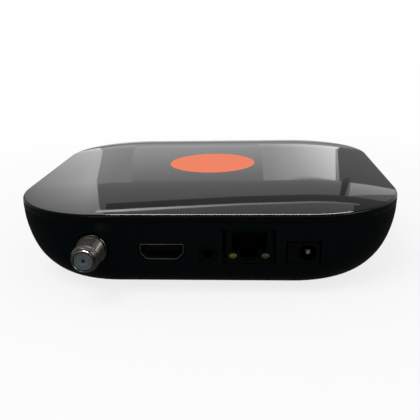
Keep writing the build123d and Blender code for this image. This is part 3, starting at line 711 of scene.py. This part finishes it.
def floorFinish():  # matt pale paper that keeps the shadow and fades to white away from the set
    material, tree, coords = newFinish("paleStudioPaper")
    paper = addNode(tree, "BsdfDiffuse", {"Color": linear(stage["floor"])})
    white = addNode(tree, "Emission", {"Strength": 1.0})
    away = addNode(tree, "VectorMath", {"operation": "LENGTH"}, {0: (coords, "Object")})
    fade = addNode(tree, "MapRange", {"interpolation_type": "SMOOTHSTEP",
                                      "From Min": stage["fadeFrom"], "From Max": stage["fadeTo"],
                                      "To Min": stage["camLift"], "To Max": 1.0},
                   {"Value": (away, "Value")})
    seen = addNode(tree, "Math", {"operation": "MULTIPLY"},
                   {0: (addNode(tree, "LightPath"), "Is Camera Ray"), 1: (fade, "Result")})
    both = addNode(tree, "MixShader", links={0: (seen, 0), 1: (paper, "BSDF"),
                                             2: (white, "Emission")})
    addNode(tree, "OutputMaterial", links={"Surface": (both, "Shader")})
    return material


def lightWorld():
    world = bpy.data.worlds.new("whiteStudio")
    scene.world = world
    world.use_nodes = True
    tree = world.node_tree
    tree.nodes.clear()
    path = addNode(tree, "LightPath")
    seen = addNode(tree, "Math", {"operation": "MAXIMUM"}, {0: (path, "Is Camera Ray"),
                                                            1: (path, "Is Glossy Ray")})
    seen = addNode(tree, "Math", {"operation": "MAXIMUM"}, {0: (seen, 0),
                                                            1: (path, "Is Transmission Ray")})
    soft = addNode(tree, "Background", {"Color": (1, 1, 1, 1), "Strength": stage["worldLevel"]})
    white = addNode(tree, "Background", {"Color": (1, 1, 1, 1), "Strength": 1.0})
    both = addNode(tree, "MixShader", links={0: (seen, 0), 1: (soft, 0), 2: (white, 0)})
    addNode(tree, "OutputWorld", links={"Surface": (both, 0)})


# Tones of the tent by height, as a share of its radius
tentSteps = [(0.0, 0.3), (0.2, 1.0), (0.3, 0.6), (0.6, 0.8), (0.75, 0.3)]
# The cards hang on its far side: the sides and heights that each spans, in the same shares, its
# tones from one side to the other, and how much of that is left at its low end
cards = {
    "leftWall": ((0.297, 0.25, 0.62, 0.62), (0.05, 0.68, 0.68, 0.05),
                 [(0.3, 2.0), (0.5, 0.3)], 0.7),
    "leftFlag": ((0.215, 0.215, 0.300, 0.308), (0.08, 0.30, 0.30, 0.08), [(0.22, 0.8)], 1),
    "rightPanel": ((-0.214, -0.205, -0.04, -0.03), (0.12, 0.256, 0.285, 0.12),
                   [(-0.2, 2.0), (-0.05, 1.0)], 1),
    "rightFlag": ((-0.42, -0.42, -0.215, -0.215), (0.06, 0.225, 0.262, 0.10), [(-0.3, 0.3)], 1),
    "rightPatch": ((-0.37, -0.37, -0.246, -0.246), (0.232, 0.305, 0.43, 0.266), [(-0.3, 1.3)], 1),
    "rightEdge": ((-0.242, -0.236, -0.221, -0.222), (0.235, 0.43, 0.44, 0.25), [(-0.2, 0.2)], 1),
    "rightLowFlag": ((-0.6, -0.6, -0.262, -0.262), (0.32, 0.66, 0.66, 0.43), [(-0.3, 0.3)], 1),
    "shadeRight": ((-0.27, -0.27, 0.0, 0.0), (0.425, 0.487, 0.538, 0.473), [(0.0, 0.3)], 1),
    "shadeLeft": ((0.0, 0.0, 0.262, 0.262), (0.473, 0.538, 0.571, 0.520), [(0.0, 0.3)], 1),
    "streakRight": ((-0.28, -0.28, 0.0, 0.0), (0.484, 0.496, 0.552, 0.537),
                    [(-0.28, 1.0), (0.0, 2.0)], 1),
    "streakLeft": ((0.0, 0.0, 0.285, 0.285), (0.537, 0.552, 0.586, 0.570),
                   [(0.0, 2.0), (0.28, 5.0)], 1),
}
# The boards that hang over and stand before the set, by their corners in metres, and their tones
boards = {
    "overheadPanel": (((-0.42, -0.92, 0.9), (0.33, -0.92, 0.9), (0.29, -0.5, 0.9),
                       (-0.42, -0.5, 0.9)), 40.0),
    "highPanel": (((-0.3, 0.2, 1.0), (0.2, 0.2, 1.0), (0.2, 0.6, 1.0), (-0.3, 0.6, 1.0)), 0.9),
    "sidePanel": (((-0.8, 0.1, 0.3), (-0.8, 0.1, 0.95), (-0.8, 0.7, 0.8), (-0.8, 0.7, 0.3)), 2.4),
    "farLeftPanel": (((0.3, 1.15, 0.15), (0.3, 1.15, 0.62), (0.5, 1.1, 0.62), (0.5, 1.1, 0.15)),
                     1.3),
    "lowFlag": (((-1.0, -0.1, 0.0), (1.0, -0.1, 0.0), (1.0, 0.95, 0.0), (-1.0, 0.95, 0.0)), 0.07),
}


def onlyReflected(piece):  # neither camera nor plain light sees it, and it throws no shadow
    piece.visible_camera = piece.visible_diffuse = piece.visible_shadow = False
    piece.visible_transmission = False


def fillRamp(ramp, steps, level):  # tones as shares of the brightest that the ramp can hold
    while len(ramp.elements) < len(steps):
        ramp.elements.new(0.5)
    for element, (at, tone) in zip(ramp.elements, steps):
        element.position, element.color = at, [tone / level] * 3 + [1]


def buildTent():  # soft grey cloth all round, graded in height, that only reflections see
    deselectAll()
    bpy.ops.mesh.primitive_uv_sphere_add(segments=48, ring_count=24, radius=stage["tentRadius"])
    tent = named("softTent")
    pick(tent, "FACE", lambda face: face.calc_center_median().z < stage["tentFoot"])
    bpy.ops.mesh.delete(type="FACE")
    leave()
    material, tree, coords = newFinish("greyTentCloth")
    share = addNode(tree, "VectorMath", {"operation": "SCALE", "Scale": 1 / stage["tentRadius"]},
                    {0: (coords, "Object")})
    split = addNode(tree, "SeparateXYZ", links={0: (share, "Vector")})
    grades = addNode(tree, "ValToRGB", links={"Fac": (split, "Z")})
    grades.color_ramp.interpolation = "EASE"
    fillRamp(grades.color_ramp, tentSteps, stage["tentLevel"])
    sides = []
    for side, axis in (("nearSide", "Y"), ("leftSide", "X")):
        start, end, left = stage[side]
        sides.append(addNode(tree, "MapRange", {"From Min": start, "From Max": end, "To Min": 1.0,
                                                "To Max": left}, {"Value": (split, axis)}))
    dim = addNode(tree, "Math", {"operation": "MULTIPLY"}, {0: (sides[0], 0), 1: (sides[1], 0)})
    strength = addNode(tree, "Math", {"operation": "MULTIPLY", 1: stage["tentLevel"]},
                       {0: (dim, 0)})
    glow = addNode(tree, "Emission", links={"Color": (grades, "Color"), "Strength": (strength, 0)})
    addNode(tree, "OutputMaterial", links={"Surface": (glow, 0)})
    tent.data.materials.append(material)
    onlyReflected(tent)


def sheetAt(name, corners):
    deselectAll()
    bpy.ops.mesh.primitive_plane_add(size=1)
    sheet = named(name)
    edit(sheet)
    mesh = bmesh.from_edit_mesh(sheet.data)
    for corner, spot in zip(mesh.faces[:][0].loops, corners):
        corner.vert.co = Vector(spot)
    bmesh.update_edit_mesh(sheet.data)
    leave()
    onlyReflected(sheet)
    return sheet


def buildCards():
    span = stage["cardSpan"]
    for layer, (name, (sides, heights, tones, lowEnd)) in enumerate(cards.items()):
        radius = stage["tentRadius"] * (stage["cardShare"] - stage["cardGap"] * layer)
        sheet = sheetAt(name, [Vector((side, -math.sqrt(1 - side**2 - high**2), high)) * radius
                               for side, high in zip(sides, heights)])
        material, tree, coords = newFinish(name + "Cloth")
        split = addNode(tree, "SeparateXYZ", links={0: (coords, "Object")})
        across = addNode(tree, "MapRange", {"From Min": -span * radius, "From Max": span * radius},
                         {"Value": (split, "X")})
        grades = addNode(tree, "ValToRGB", links={"Fac": (across, "Result")})
        level = max(tone for side, tone in tones)
        fillRamp(grades.color_ramp, [((side + span) / (2 * span), tone) for side, tone in tones],
                 level)
        upward = addNode(tree, "MapRange", {"From Min": stage["cardLow"] * radius,
                                            "From Max": stage["cardHigh"] * radius,
                                            "To Min": level * lowEnd, "To Max": level},
                         {"Value": (split, "Z")})
        glow = addNode(tree, "Emission", links={"Color": (grades, "Color"),
                                                "Strength": (upward, "Result")})
        addNode(tree, "OutputMaterial", links={"Surface": (glow, 0)})
        sheet.data.materials.append(material)


def buildBoards():
    for name, (corners, tone) in boards.items():
        sheet = sheetAt(name, corners)
        material, tree, coords = newFinish(name + "Cloth")
        glow = addNode(tree, "Emission", {"Strength": tone})
        addNode(tree, "OutputMaterial", links={"Surface": (glow, 0)})
        sheet.data.materials.append(material)


def hangSoftbox():
    data = bpy.data.lights.new("overheadSoftbox", "AREA")
    data.shape, data.size = "DISK", softbox["size"]
    data.energy = softbox["power"]
    holder = bpy.data.objects.new("overheadSoftbox", data)
    scene.collection.objects.link(holder)
    holder.location = softbox["spot"]
    aim = Vector(softbox["target"]) - Vector(softbox["spot"])
    holder.rotation_euler = aim.to_track_quat("-Z", "Y").to_euler()
    holder.visible_glossy = False


buildFloor()
lightWorld()
buildTent()
buildCards()
buildBoards()
hangSoftbox()
print("stage and light set")
